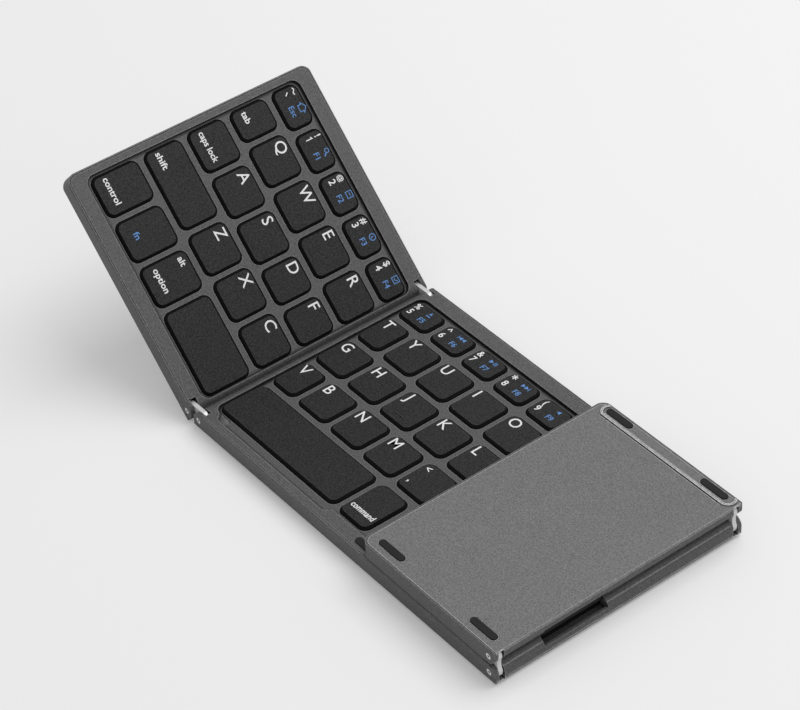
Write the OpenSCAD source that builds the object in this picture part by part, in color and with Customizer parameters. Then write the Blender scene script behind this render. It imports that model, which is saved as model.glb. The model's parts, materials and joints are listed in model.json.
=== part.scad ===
// Tri-fold portable keyboard: a middle leaf, a left leaf and a touchpad leaf,
// joined by two-pin link hinges. Millimetres, +Z up, +X along the key rows,
// origin at the centre of the middle leaf's underside.

/* [Leaves] */
// Depth of every leaf, front face to back face
depth = 97; // [92:0.5:102]
// Thickness of one leaf, underside to bezel
leaf_t = 6; // [5.6:0.1:7]
// Length of the middle leaf
mid_len = 152.7; // [151:0.1:156]
// Length of the left leaf
left_len = 87.5; // [86.5:0.1:89]
// Length of the touchpad leaf
right_len = 63.4; // [61:0.1:64]
// Plan radius of the corners away from the folds
corner_r = 3.8; // [2:0.1:6]
// Plan radius of the corners beside a fold
fold_corner_r = 0.5; // [0.3:0.1:1]
// Radius of the key-side corner at a fold
fold_r = 4.2; // [3:0.1:4.6]
// Radius of the other key-side edges
top_edge_r = 0.6; // [0.3:0.05:0.7]
// Radius of the underside edges
under_edge_r = 0.3; // [0.2:0.05:0.4]

/* [Shells] */
// Width of the housing band that shows round a cover plate
band_w = 0.55; // [0.5:0.05:0.7]
// Width of the seam between a plate and the band
seam = 0.22; // [0.2:0.02:0.26]
// Thickness of the bottom cover
cover_t = 1; // [0.9:0.05:1.1]
// Thickness of the key frame at the bezel
frame_t = 1.6; // [1.5:0.1:1.7]
// Depth of the key field below the bezel
field_drop = 1; // [0.6:0.05:1.1]
// Width of the housing rails along the front and the back
rail_w = 6.1; // [5.9:0.1:6.4]
// Wall of the housing at the outer end of the left leaf
end_wall = 3.2; // [3:0.1:3.3]
// Depth of the groove between a cover and its housing at a fold
fold_groove = 0.4; // [0.2:0.05:0.6]
// Height of the ridge that loops round the back feet
ridge_h = 0.3; // [0.2:0.05:0.35]
// Width of the ridge
ridge_w = 0.8; // [0.6:0.05:0.9]
// Gap between the back feet and the ridge, front and back
ridge_gap = 0.95; // [0.8:0.05:1]
// Gap between a back foot and the ridge's end at an outer end
ridge_end_gap = 1.1; // [0.8:0.1:1.5]
// Gap between a back foot and the ridge's end at a fold
ridge_fold_gap = 2.4; // [1:0.1:2.6]
// Width of the grooves beside the ridge
groove_w = 0.35; // [0.2:0.05:0.4]
// Depth of the grooves beside the ridge
groove_h = 0.25; // [0.1:0.05:0.4]

/* [Fold] */
// Angle that the left leaf is raised from flat
left_raise = 44.5; // [0:0.5:90]
// Gap between two leaves that lie face to face
fold_gap = 0.5; // [0.4:0.05:1]
// Distance of a pin axis from the end of its leaf
pin_in = 2.95; // [2.8:0.05:3]
// Radius of the hinge pins
pin_r = 1.1; // [0.9:0.05:1.15]
// Radius of the dimple in the pin head
pin_dimple_r = 0.4; // [0.3:0.05:0.6]
// Radius of the two ends of a link plate
link_r = 2.5; // [2.2:0.05:2.6]
// Height of a link plate at its waist, from the pins' plane to its outer edge
link_waist = 1.9; // [1.4:0.05:2.1]
// Radius of the waist of a link plate
waist_r = 6; // [3:0.5:10]
// Thickness of a link plate
link_t = 1.5; // [1.2:0.1:1.6]
// Thickness of the cheek outside a link
cheek_t = 1.6; // [1.4:0.1:1.8]
// Thickness of the cheek inside a link
inner_cheek_t = 1.5; // [1.2:0.1:1.8]
// Running clearance of a link on its pin
pin_play = 0.05; // [0.02:0.01:0.09]
// Clearance of a pin in its housing
pin_fit = 0.02; // [0.01:0.01:0.05]
// Clearance of a link from the outer side of its slot
link_play = 0.15; // [0.1:0.05:0.25]
// Width of the slot that a link swings in
slot_w = 2.15; // [2.1:0.05:2.3]
// Length of the cable guard
guard_len = 24.3; // [18:0.1:28]
// Distance of the cable guard's centre in front of the leaf's centre
guard_fwd = 17.3; // [15:0.1:20]
// Thickness of the cable guard
guard_t = 0.7; // [0.5:0.05:0.75]
// Distance of the cable guard from the plane of the pin axes, towards the keys
guard_up = 0.15; // [0:0.05:0.2]
// Distance of the cable guard's edges from the pin axes
guard_from = 1; // [0.8:0.05:1.4]
// Clearance round the cable guard
guard_play = 0.15; // [0.1:0.05:0.2]
// Thickness of the lip in front of the cable guard
notch_lip = 1; // [0.8:0.05:1.2]
// Depth of the trench behind that lip
trench_h = 1.3; // [1:0.05:1.4]

/* [Keys] */
// Width of a letter key, rib to rib
letter_w = 17.07; // [16.9:0.01:17.15]
// Width of a number key, rib to rib
number_w = 16.25; // [16:0.05:16.4]
// Width of the narrow letter keys beside the fold
edge_letter_w = 13.7; // [13:0.1:14.5]
// Width of the two narrow keys at the right of the home row
home_edge_w = 15.2; // [14.5:0.05:15.5]
// Width of the modifier keys on the left leaf
mod_w = 16.55; // [16:0.05:17]
// Width of the modifier keys on the middle leaf
mid_mod_w = 15.95; // [15:0.05:16.5]
// Width of the long space key
space_w = 62.8; // [60:0.1:65]
// Gap between the key openings and the back rail
row_back_gap = 1; // [0.8:0.05:1.3]
// Gap between the key openings and the front rail
row_front_gap = 0.8; // [0.7:0.05:1.3]
// Height of the openings in the number row
number_row_h = 10.8; // [10:0.1:11]
// Height of the openings in the space row
space_row_h = 18.6; // [17:0.1:18.8]
// Width of the ribs between keys in a row
rib_x = 1.6; // [1.5:0.05:1.8]
// Width of the ribs between rows
rib_y = 2; // [1.8:0.05:2.2]
// Distance from the left leaf's outer end to its first rib line
left_key_in = 3.2; // [3:0.05:3.4]
// Distance from the left leaf's fold end to its last rib line
left_fold_key_in = 2.5; // [2.4:0.05:2.7]
// Distance from the middle leaf's ends to its first rib line
mid_key_in = 3.65; // [3.5:0.05:3.9]
// Corner radius of a key opening
key_r = 3; // [2:0.1:3.5]
// Gap between a cap and its opening
cap_gap = 0.25; // [0.2:0.05:0.35]
// Distance of a cap's top below the bezel
cap_low = 0.05; // [0:0.05:0.3]
// Height of the bevel round a cap's top
cap_bevel_h = 0.7; // [0.4:0.05:0.8]
// Width of the bevel round a cap's top
cap_bevel_w = 0.75; // [0.4:0.05:0.8]
// Height and width of the bevel round a click button
button_bevel = 0.3; // [0.2:0.05:0.4]
// Thickness of a cap's top wall
cap_top = 0.9; // [0.7:0.05:1.1]
// Thickness of a cap's side walls
cap_wall = 0.8; // [0.6:0.05:1]
// Reach of the retaining lip beyond the opening
lip_reach = 0.35; // [0.25:0.05:0.4]
// Thickness of the retaining lip
lip_t = 0.5; // [0.4:0.05:0.6]
// Gap between the retaining lip and the frame at rest
lip_gap = 0.2; // [0.15:0.05:0.3]
// Travel of a key
travel = 1.3; // [1:0.05:1.35]
// Margin of the key field in front of and behind the openings
field_margin = 1.15; // [0.9:0.05:1.3]
// Margin of the key field beside the openings at a fold
field_fold_margin = 0.35; // [0.2:0.05:0.5]
// Margin of the key field beside the openings at the left leaf's outer end
field_end_margin = 0.9; // [0.5:0.05:1]
// Length of the homing bar
homing_len = 3.6; // [2:0.1:5]
// Width of the homing bar
homing_w = 0.5; // [0.4:0.05:0.8]
// Distance of the homing bar from the front of its key's opening
homing_in = 3.4; // [2:0.1:5]
// Width of the first number key of the middle leaf
first_number_w = 16.7; // [16:0.05:17]
// Gap between a retaining lip and the housing
lip_side_gap = 0.25; // [0.2:0.05:0.3]
// Height of the homing bar
homing_h = 0.15; // [0.1:0.05:0.2]

/* [Thumb relief] */
// Reach of the relief in front of the key field
relief_reach = 2.5; // [1.5:0.1:3]
// Distance from the left end of the middle leaf to the relief
relief_from = 8.6; // [7:0.1:10]
// Length of the relief
relief_len = 58; // [50:0.5:62]
// Radius of the corners of the relief
relief_r = 2; // [1:0.1:2.4]
// Depth of the relief at its left end
relief_shelf = 0.35; // [0.2:0.05:0.5]
// Distance from the relief's left end to its full depth
relief_run = 4.7; // [4:0.1:5]
// Radius of the fillet down to its full depth
relief_end_r = 3; // [2:0.1:4]

/* [Boards] */
// Depth of the main board
main_board_depth = 26; // [22:0.5:30]
// Radius of the switch posts under the click buttons
switch_r = 2.2; // [1.5:0.1:3]
// Sizes of the controller chip on the main board
chip_size = [7, 7, 1]; // [4:0.5:9]
// Sizes of the charger chip on the main board
charger_size = [9, 4, 1.4]; // [4:0.5:9]
// Thickness of a circuit board
board_t = 0.8; // [0.6:0.1:1]
// Thickness of the dome sheet
sheet_t = 0.3; // [0.2:0.05:0.4]
// Radius at the foot of a dome
dome_foot_r = 2.8; // [2:0.1:3.5]
// Radius at the top of a dome
dome_top_r = 1.7; // [1:0.1:2.5]
// Clearance of a pressed cap above its dome
dome_gap = 0.1; // [0.05:0.05:0.2]
// Clearance round boards and cells
part_gap = 0.3; // [0.2:0.05:0.5]
// Length of the battery cell
cell_len = 40; // [30:0.5:48]
// Depth of the battery cell
cell_depth = 44; // [30:0.5:50]
// Radius of the battery cell's long edges
cell_r = 0.6; // [0.3:0.05:1]
// Thickness of the battery cell
cell_t = 2.7; // [2:0.1:2.9]

/* [Touchpad] */
// Length of the touchpad opening
pad_len = 50; // [40:0.5:52]
// Depth of the touchpad opening
pad_depth = 66; // [50:0.5:68]
// Depth of the click buttons
click_depth = 10; // [8:0.5:12]
// Travel of a click button
click_travel = 0.4; // [0.3:0.05:0.6]
// Corner radius of the touchpad
pad_r = 3; // [2:0.1:5]
// Depth of the ledge under the touchpad plate
pad_ledge = 2; // [1:0.1:3]
// Gap under the touchpad's top face, below the bezel
pad_low = 0.1; // [0:0.05:0.2]
// Distance of the click buttons from the front rail
click_in = 2.5; // [1:0.1:3]
// Distance of the touchpad from the middle of its leaf, away from the fold
pad_shift = 0.4; // [0:0.1:1]
// Thickness of the touchpad plate
pad_t = 1; // [0.9:0.1:1.2]

/* [Feet] */
// Length of a foot
foot_len = 11.3; // [8:0.1:12.5]
// Width of a foot
foot_w = 2.5; // [2:0.1:3]
// Height of a foot below the underside
foot_h = 0.35; // [0.35:0.05:1]
// Depth of the pocket that holds a foot
foot_pocket = 0.2; // [0.1:0.05:0.25]
// Distance of a front foot's centre from the front face
front_foot_in = 4.35; // [4:0.05:4.5]
// Distance of a back foot's centre from the back face
back_foot_in = 2.5; // [2.45:0.05:3]
// Distance of a foot's centre from an outer end
foot_end = 10.25; // [9:0.25:14]
// Distance of a foot's centre from a fold end
foot_fold = 9.95; // [9.5:0.05:12]
// Distance of the bumper and the lenses from the front and back faces
bezel_mid = 3.4; // [3.2:0.05:3.6]
// Height of the bumper above the bezel
bumper_h = 0.35; // [0.2:0.05:0.4]

/* [Fittings] */
// Radius of a cover screw
screw_r = 0.6; // [0.5:0.05:0.8]
// Length of a cover screw in the housing
screw_len = 2.6; // [2:0.1:2.8]
// Height of a screw head
screw_head_h = 0.4; // [0.3:0.05:0.5]
// Radius of a screw head
screw_head_r = 1.05; // [0.9:0.05:1.15]
// Width of the charging socket
socket_w = 7.8; // [7:0.1:8.5]
// Height of the charging socket
socket_h = 2.6; // [2.4:0.1:2.8]
// Wall of the charging socket
socket_wall = 0.35; // [0.25:0.05:0.45]
// Thickness of the charging socket's tongue
tongue_t = 0.7; // [0.5:0.05:0.8]
// Width of the charging socket's tongue
tongue_w = 6; // [5:0.1:6.4]
// Distance of the socket's mouth from the back face
socket_in = 0.1; // [0.05:0.05:0.3]
// Distance of the charging socket from the middle leaf's centre
socket_x = 44; // [30:1:55]
// Radius of an indicator lens
lens_r = 0.7; // [0.5:0.05:0.9]
// Spacing of the indicator lenses
lens_pitch = 6; // [4:0.5:8]
// Distance of the first lens from the middle leaf's centre
lens_x = 52; // [45:1:56]

/* [Hidden] */
$fn = 48;

eps = 0.01;
over = 1;
pin_z = leaf_t / 2;
pin_gap = leaf_t + fold_gap;
mid_end = mid_len / 2;
mid_pin_x = mid_end - pin_in;
frame_z = leaf_t - frame_t;
field_z = leaf_t - field_drop;
link_y = depth / 2 - cheek_t - link_play - link_t / 2;
slot_y = depth / 2 - cheek_t - slot_w / 2;
link_room = link_r + link_play;
inner_cheek_y = slot_y - slot_w / 2 - inner_cheek_t;
socket_z = (cover_t + frame_z) / 2;
cavity_y = depth / 2 - rail_w;
cap_h = frame_t + lip_gap + lip_t - cap_low;
cap_base_z = leaf_t - cap_low - cap_h;
sheet_z = cover_t + board_t;
dome_h = leaf_t - cap_low - cap_top - travel - dome_gap - sheet_z - sheet_t;
shell_grey = [0.36, 0.36, 0.37];
cover_grey = [0.42, 0.42, 0.43];
cap_black = [0.17, 0.17, 0.18];

// Row edges, front to back: [front, back] of the openings of rows 1 to 5
row_top = cavity_y - row_back_gap;
letter_h = (row_top + cavity_y - row_front_gap - number_row_h - space_row_h - 4 * rib_y) / 3;
row_pitch = letter_h + rib_y;
function row_back(r) = r == 1 ? row_top : row_top - number_row_h - rib_y - (r - 2) * row_pitch;
function row_front(r) = row_back(r) - (r == 1 ? number_row_h : r == 5 ? space_row_h : letter_h);

// Rib lines: the left leaf's run from its outer end, the middle leaf's from its left end
left_key_x = -left_len + left_key_in;
left_field_w = left_len - left_key_in - left_fold_key_in;
mid_key_x = -mid_end + mid_key_in;
mid_field_w = mid_len - 2 * mid_key_in;
function rest(total, used) = total - used;
function same(n, w) = [for (i = [1:n]) w];
left_rows = [
    concat([rest(left_field_w, 4 * number_w)], same(4, number_w)),
    concat([rest(left_field_w, 4 * letter_w)], same(4, letter_w)),
    concat([rest(left_field_w, 2 * letter_w + 2 * home_edge_w)], same(2, letter_w), same(2, home_edge_w)),
    concat([rest(left_field_w, 3 * letter_w)], same(3, letter_w)),
    concat(same(3, mod_w), [rest(left_field_w, 3 * mod_w)])];
pair_w = (mid_field_w - edge_letter_w - 6 * letter_w) / 2;
arrow_w = (mid_field_w - space_w - 2 * mid_mod_w) / 3;
mid_rows = [
    concat([first_number_w], same(7, number_w), [rest(mid_field_w, first_number_w + 7 * number_w)]),
    concat([edge_letter_w], same(7, letter_w), [rest(mid_field_w, edge_letter_w + 7 * letter_w)]),
    concat(same(7, letter_w), [rest(mid_field_w, 7 * letter_w)]),
    concat([edge_letter_w], same(6, letter_w), same(2, pair_w)),
    concat([space_w], same(2, mid_mod_w), same(3, arrow_w))];
function run(widths, n) = n == 0 ? 0 : widths[n - 1] + run(widths, n - 1);
function key_list(rows, x0) = [for (r = [1:5]) for (i = [0:len(rows[r - 1]) - 1])
    [r, i, x0 + run(rows[r - 1], i) + rib_x / 2, x0 + run(rows[r - 1], i + 1) - rib_x / 2,
    row_front(r), row_back(r)]];
left_keys = key_list(left_rows, left_key_x);
mid_keys = key_list(mid_rows, mid_key_x);

// ---- outlines ----

// Rectangle with its own radius at each corner, counted anticlockwise from bottom left
module corners(x0, x1, y0, y1, r) {
    polygon([[x0 + r[0], y0], [x1 - r[1], y0], [x1, y0 + r[1]], [x1, y1 - r[2]],
        [x1 - r[2], y1], [x0 + r[3], y1], [x0, y1 - r[3]], [x0, y0 + r[0]]]);
    translate([x0 + r[0], y0 + r[0]]) circle(r[0]);
    translate([x1 - r[1], y0 + r[1]]) circle(r[1]);
    translate([x1 - r[2], y1 - r[2]]) circle(r[2]);
    translate([x0 + r[3], y1 - r[3]]) circle(r[3]);
}

module rounded(x0, x1, y0, y1, r) {
    corners(x0, x1, y0, y1, [r, r, r, r]);
}

// Extrudes a profile drawn in X and Z along Y
module along_y(y0, y1) {
    translate([0, y1, 0]) rotate([90, 0, 0]) linear_extrude(y1 - y0) children();
}

// Extrudes a profile drawn in Y and Z along X
module along_x(x0, x1) {
    translate([x0, 0, 0]) rotate([90, 0, 90]) linear_extrude(x1 - x0) children();
}

// ---- leaf shells, drawn key side up; fold is [left end folds, right end folds] ----

function plan_r(fold) = fold ? fold_corner_r : corner_r;
function end_r(fold) = fold ? fold_r : top_edge_r;

module side_profile(x0, x1, fold) {
    corners(x0, x1, 0, leaf_t, [under_edge_r, under_edge_r, end_r(fold[1]), end_r(fold[0])]);
}

module leaf_form(x0, x1, fold) {
    intersection() {
        along_y(-depth / 2, depth / 2) side_profile(x0, x1, fold);
        along_x(x0, x1) corners(-depth / 2, depth / 2, 0, leaf_t,
            [under_edge_r, under_edge_r, top_edge_r, top_edge_r]);
        linear_extrude(leaf_t) corners(x0, x1, -depth / 2, depth / 2,
            [plan_r(fold[0]), plan_r(fold[1]), plan_r(fold[1]), plan_r(fold[0])]);
    }
}

// Outline of a cover plate, inside the band by inset and running out past a fold
module plate_outline(x0, x1, fold, inset) {
    r = [for (f = [fold[0], fold[1], fold[1], fold[0]]) f ? eps : corner_r - inset];
    corners(x0 + (fold[0] ? -over : inset), x1 - (fold[1] ? -over : inset),
        -depth / 2 + inset, depth / 2 - inset, r);
}

// The outer cheeks beside the slots, part of the housing up to the key side
module cheeks(x0, x1, fold, grow) {
    reach = pin_in + link_room + grow;
    y0 = depth / 2 - cheek_t - grow;
    for (end = [0, 1]) if (fold[end]) for (side = [-1, 1])
        translate([end == 0 ? x0 - over : x1 - reach, side > 0 ? y0 : -depth / 2 - over, frame_z - 2 * over])
            cube([reach + over, depth / 2 + over - y0, frame_t + 4 * over]);
}

// Room that a link needs about one pin axis, from level to upright; e runs to the leaf's end
module slot_profile(e) {
    circle(link_room);
    translate([e > 0 ? 0 : -pin_in - over, -link_room]) square([pin_in + over, link_room + eps]);
    translate([e > 0 ? -link_room : -pin_in - over, 0]) square([link_room + pin_in + over, leaf_t]);
}

// Room that the cable guard needs about one pin axis, open at the key side, and the trench below it
module notch_profile(e) {
    reach = guard_up + guard_t + guard_play;
    translate([e > 0 ? -reach : -pin_in - over, guard_up - guard_play])
        square([reach + pin_in + over, leaf_t]);
    translate([e > 0 ? -reach : notch_lip - pin_in, -trench_h])
        square([reach + pin_in - notch_lip, trench_h + over]);
}

// All that the folds take out of a leaf; guarded is the end, 0 or 1, that the cable leaves by
module fold_cuts(x0, x1, fold, guarded) {
    for (end = [0, 1]) if (fold[end]) {
        e = end == 0 ? -1 : 1;
        x = end == 0 ? x0 + pin_in : x1 - pin_in;
        translate([x, 0, pin_z]) {
            for (side = [-1, 1])
                along_y(side * slot_y - slot_w / 2, side * slot_y + slot_w / 2) slot_profile(e);
            if (guarded == end)
                along_y(-guard_fwd - guard_len / 2 - guard_play, -guard_fwd + guard_len / 2 + guard_play)
                    notch_profile(e);
        }
    }
}

module pin_bores(x0, x1, fold) {
    for (end = [0, 1]) if (fold[end]) for (side = [-1, 1]) {
        x = end == 0 ? x0 + pin_in : x1 - pin_in;
        y0 = side > 0 ? inner_cheek_y : -depth / 2 - over;
        translate([x, 0, pin_z]) along_y(y0, y0 + depth / 2 + over - inner_cheek_y)
            circle(pin_r + pin_fit);
    }
}

function foot_xs(x0, x1, fold) = [x0 + (fold[0] ? foot_fold : foot_end), x1 - (fold[1] ? foot_fold : foot_end)];

function foot_y(side) = side > 0 ? depth / 2 - back_foot_in : front_foot_in - depth / 2;

module at_feet(x0, x1, fold) {
    for (x = foot_xs(x0, x1, fold)) for (side = [-1, 1])
        translate([x, foot_y(side), 0]) children();
}

module housing(x0, x1, fold, guarded, cavity) {
    difference() {
        leaf_form(x0, x1, fold);
        translate([0, 0, -over]) linear_extrude(over + cover_t) plate_outline(x0, x1, fold, band_w);
        difference() {
            translate([0, 0, frame_z]) linear_extrude(frame_t + over)
                plate_outline(x0, x1, fold, band_w);
            cheeks(x0, x1, fold, 0);
        }
        for (end = [0, 1]) if (fold[end])
            translate([end == 0 ? x0 - over : x1 - fold_groove, band_w - depth / 2, cover_t - eps])
                cube([fold_groove + over, depth - 2 * band_w, seam + eps]);
        translate([cavity[0], -cavity_y, 0]) cube([cavity[1] - cavity[0], 2 * cavity_y, leaf_t]);
        fold_cuts(x0, x1, fold, guarded);
        pin_bores(x0, x1, fold);
        at_feet(x0, x1, fold) cylinder(r = screw_r + pin_fit, h = cover_t + screw_len + part_gap);
    }
}

// Stadium round the back feet, whose sides lie side from the feet and whose ends lie end further out
module feet_loop(x0, x1, fold, side, grow) {
    xs = foot_xs(x0, x1, fold);
    half = foot_w / 2 + side + grow;
    past = [for (f = fold) foot_len / 2 + (f ? ridge_fold_gap : ridge_end_gap) + grow];
    rounded(xs[0] - past[0], xs[1] + past[1], foot_y(1) - half, foot_y(1) + half, half - eps);
}

module ridge(x0, x1, fold) {
    translate([0, 0, -ridge_h]) linear_extrude(ridge_h + eps) intersection() {
        difference() {
            feet_loop(x0, x1, fold, ridge_gap, ridge_w);
            feet_loop(x0, x1, fold, ridge_gap, 0);
        }
        plate_outline(x0, x1, fold, band_w + seam);
    }
}

// Straight grooves on both sides of the ridge's front run
module ridge_grooves(x0, x1, fold) {
    xs = foot_xs(x0, x1, fold);
    y = foot_y(1) - foot_w / 2 - ridge_gap;
    for (y0 = [y, y - ridge_w - groove_w])
        translate([xs[0] - foot_len / 2, y0, -over])
            cube([xs[1] - xs[0] + foot_len, groove_w, over + groove_h]);
}

module bottom_cover(x0, x1, fold, guarded) {
    difference() {
        union() {
            intersection() {
                along_y(-depth / 2, depth / 2) side_profile(x0, x1, fold);
                linear_extrude(cover_t) plate_outline(x0, x1, fold, band_w + seam);
            }
            ridge(x0, x1, fold);
        }
        ridge_grooves(x0, x1, fold);
        fold_cuts(x0, x1, fold, guarded);
        at_feet(x0, x1, fold) {
            translate([0, 0, -over]) linear_extrude(over + foot_pocket) foot_outline(seam / 2);
            cylinder(r = screw_r + pin_fit, h = cover_t + over);
            cylinder(r = screw_head_r + pin_fit, h = foot_pocket + screw_head_h);
        }
    }
}

module foot_outline(grow) {
    rounded(-foot_len / 2 - grow, foot_len / 2 + grow, -foot_w / 2 - grow, foot_w / 2 + grow,
        foot_w / 2 + grow - eps);
}

module feet(x0, x1, fold) {
    at_feet(x0, x1, fold) translate([0, 0, -foot_h]) linear_extrude(foot_h + foot_pocket) foot_outline(0);
}

module cover_screws(x0, x1, fold) {
    at_feet(x0, x1, fold) translate([0, 0, foot_pocket]) {
        cylinder(r = screw_head_r, h = screw_head_h);
        cylinder(r = screw_r, h = screw_len + cover_t - foot_pocket);
    }
}

// Rivets with a dimpled head, through both cheeks of a slot
module hinge_pins(x0, x1, fold) {
    for (end = [0, 1]) if (fold[end]) for (side = [-1, 1]) {
        x = end == 0 ? x0 + pin_in : x1 - pin_in;
        translate([x, 0, pin_z]) rotate([side * -90, 0, 0]) difference() {
            translate([0, 0, inner_cheek_y + part_gap / 2])
                cylinder(r = pin_r, h = depth / 2 - inner_cheek_y - part_gap);
            translate([0, 0, depth / 2 - over]) cylinder(r = pin_dimple_r, h = 2 * over);
        }
    }
}

// ---- key frame ----

module key_opening(k, shrink) {
    rounded(k[2] + shrink, k[3] - shrink, k[4] + shrink, k[5] - shrink, key_r - shrink);
}

module key_field(x0, x1) {
    rounded(x0, x1, row_front(5) - field_margin, row_back(1) + field_margin, key_r + field_fold_margin);
}

module key_frame(x0, x1, fold, guarded, keys) {
    difference() {
        intersection() {
            along_y(-depth / 2, depth / 2) side_profile(x0, x1, fold);
            translate([0, 0, frame_z]) linear_extrude(frame_t)
                plate_outline(x0, x1, fold, band_w + seam);
        }
        translate([0, 0, field_z]) linear_extrude(field_drop + over) children();
        translate([0, 0, frame_z - over]) linear_extrude(frame_t + 2 * over)
            for (k = keys) key_opening(k, 0);
        cheeks(x0, x1, fold, seam);
        fold_cuts(x0, x1, fold, guarded);
    }
}

// Relief in the bezel in front of the long space key
relief_x0 = -mid_end + relief_from;

module thumb_relief() {
    x0 = relief_x0;
    x1 = x0 + relief_len;
    y1 = row_front(5) - field_margin;
    rounded(x0, x1, y1 - relief_reach, y1 + 2 * relief_r, relief_r);
    for (s = [[x0, -1], [x1, 1]]) difference() {
        translate([s[0] - (s[1] < 0 ? relief_r : eps), y1 - relief_r]) square([relief_r + eps, relief_r + eps]);
        translate([s[0] + s[1] * relief_r, y1 - relief_r]) circle(relief_r);
    }
}

// The relief is shallow at its left end and falls along a fillet to the depth of the key field
module relief_cut() {
    translate([0, 0, leaf_t - relief_shelf]) linear_extrude(relief_shelf + over) thumb_relief();
    intersection() {
        translate([0, 0, field_z]) linear_extrude(field_drop + over) thumb_relief();
        translate([relief_x0 + relief_run, 0, field_z]) along_y(-depth / 2, 0) {
            square([relief_len, leaf_t]);
            translate([0, relief_end_r]) circle(relief_end_r);
        }
    }
}

// ---- key caps ----

// Rounded block whose top edge is bevelled, w wide and b high
module bevelled(x0, x1, y0, y1, r, h, w, b) {
    linear_extrude(h - b) rounded(x0, x1, y0, y1, r);
    translate([0, 0, h - b]) {
        along_y(y0 + r, y1 - r) polygon([[x0, -eps], [x1, -eps], [x1, 0], [x1 - w, b], [x0 + w, b], [x0, 0]]);
        along_x(x0 + r, x1 - r) polygon([[y0, -eps], [y1, -eps], [y1, 0], [y1 - w, b], [y0 + w, b], [y0, 0]]);
        for (x = [x0 + r, x1 - r]) for (y = [y0 + r, y1 - r])
            translate([x, y, 0]) cylinder(r1 = r, r2 = r - w, h = b);
    }
}

module cap(k, bevel_w, bevel_h) {
    g = cap_gap;
    r = key_r - cap_gap;
    translate([0, 0, cap_base_z]) difference() {
        union() {
            bevelled(k[2] + g, k[3] - g, k[4] + g, k[5] - g, r, cap_h, bevel_w, bevel_h);
            linear_extrude(lip_t) key_opening(k, -lip_reach);
        }
        translate([0, 0, -over]) linear_extrude(over + cap_h - cap_top)
            key_opening(k, g + cap_wall);
    }
}

module caps(keys, row, first, last) {
    color(cap_black) for (k = keys) if (k[0] == row && k[1] >= first && k[1] <= last)
        cap(k, cap_bevel_w, cap_bevel_h);
}

module homing_bar(k) {
    translate([(k[2] + k[3] - homing_len) / 2, k[4] + homing_in, leaf_t - cap_low - eps])
        cube([homing_len, homing_w, homing_h]);
}

// ---- boards and domes ----

module board(x0, x1) {
    translate([x0, -cavity_y + part_gap, cover_t])
        cube([x1 - x0, 2 * (cavity_y - part_gap), board_t]);
}

module dome_sheet(x0, x1, keys) {
    translate([x0, -cavity_y + part_gap, sheet_z])
        cube([x1 - x0, 2 * (cavity_y - part_gap), sheet_t]);
    for (k = keys) translate([(k[2] + k[3]) / 2, (k[4] + k[5]) / 2, sheet_z + sheet_t - eps])
        cylinder(r1 = dome_foot_r, r2 = dome_top_r, h = dome_h + eps);
}

// ---- middle leaf ----

mid_fold = [true, true];
key_room = rib_x / 2 - lip_reach - lip_side_gap;
mid_cavity = [-mid_end + mid_key_in + key_room, mid_end - mid_key_in - key_room];

module mid_housing() {
    color(shell_grey) difference() {
        housing(-mid_end, mid_end, mid_fold, 1, mid_cavity);
        translate([socket_x, cavity_y - over, socket_z]) along_y(0, rail_w + 2 * over)
            socket_outline(-seam);
    }
}

module mid_key_frame() {
    color(shell_grey) difference() {
        key_frame(-mid_end, mid_end, mid_fold, 1, mid_keys)
            key_field(mid_key_x + rib_x / 2 - field_fold_margin, -mid_key_x - rib_x / 2 + field_fold_margin);
        relief_cut();
        translate([0, 0, frame_z - over]) linear_extrude(frame_t + 2 * over) at_lenses() circle(lens_r + seam);
        translate([0, 0, leaf_t - foot_pocket]) linear_extrude(over) at_bumper() foot_outline(seam / 2);
    }
}

module at_lenses() {
    for (i = [0:2]) translate([lens_x + i * lens_pitch, depth / 2 - bezel_mid]) children();
}

module at_bumper() {
    gap_x = mid_end - right_len - (mid_len - left_len - right_len) / 2;
    translate([gap_x, -depth / 2 + bezel_mid]) children();
}

module mid_bottom_cover() {
    color(cover_grey) bottom_cover(-mid_end, mid_end, mid_fold, 1);
}

module mid_circuit_board() {
    color("darkgreen") board(mid_cavity[0] + part_gap, mid_cavity[1] - part_gap);
}

module mid_dome_sheet() {
    color("gainsboro") dome_sheet(mid_cavity[0] + part_gap, mid_cavity[1] - part_gap, mid_keys);
}

module mid_feet() {
    color([0.1, 0.1, 0.1]) feet(-mid_end, mid_end, mid_fold);
}

module mid_cover_screws() {
    color("silver") cover_screws(-mid_end, mid_end, mid_fold);
}

module mid_hinge_pins() {
    color("silver") hinge_pins(-mid_end, mid_end, mid_fold);
}

module closing_bumper() {
    color([0.1, 0.1, 0.1]) translate([0, 0, leaf_t - foot_pocket])
        linear_extrude(foot_pocket + bumper_h) at_bumper() foot_outline(0);
}

module socket_outline(inset) {
    rounded(-socket_w / 2 + inset, socket_w / 2 - inset, -socket_h / 2 + inset, socket_h / 2 - inset,
        socket_h / 2 - inset - eps);
}

module charging_socket() {
    back = depth / 2 - socket_in;
    front = cavity_y + socket_in;
    tongue_len = back - front - 2 * socket_wall;
    color("silver") translate([socket_x, 0, socket_z]) {
        difference() {
            along_y(front, back) socket_outline(0);
            along_y(front + socket_wall, back + over) socket_outline(socket_wall);
        }
        translate([-tongue_w / 2, front, -tongue_t / 2]) cube([tongue_w, tongue_len, tongue_t]);
    }
}

module indicator_lenses() {
    color("lightcyan") translate([0, 0, frame_z]) linear_extrude(frame_t - cap_low) at_lenses() circle(lens_r);
}

// ---- left leaf, raised about its own pin axis with its links level ----

module left_place() {
    translate([-mid_pin_x - pin_gap, 0, pin_z]) rotate([0, left_raise, 0])
        translate([pin_in, 0, -pin_z]) children();
}

left_fold = [false, true];
left_cavity = [-left_len + end_wall, -left_fold_key_in - key_room];

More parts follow.
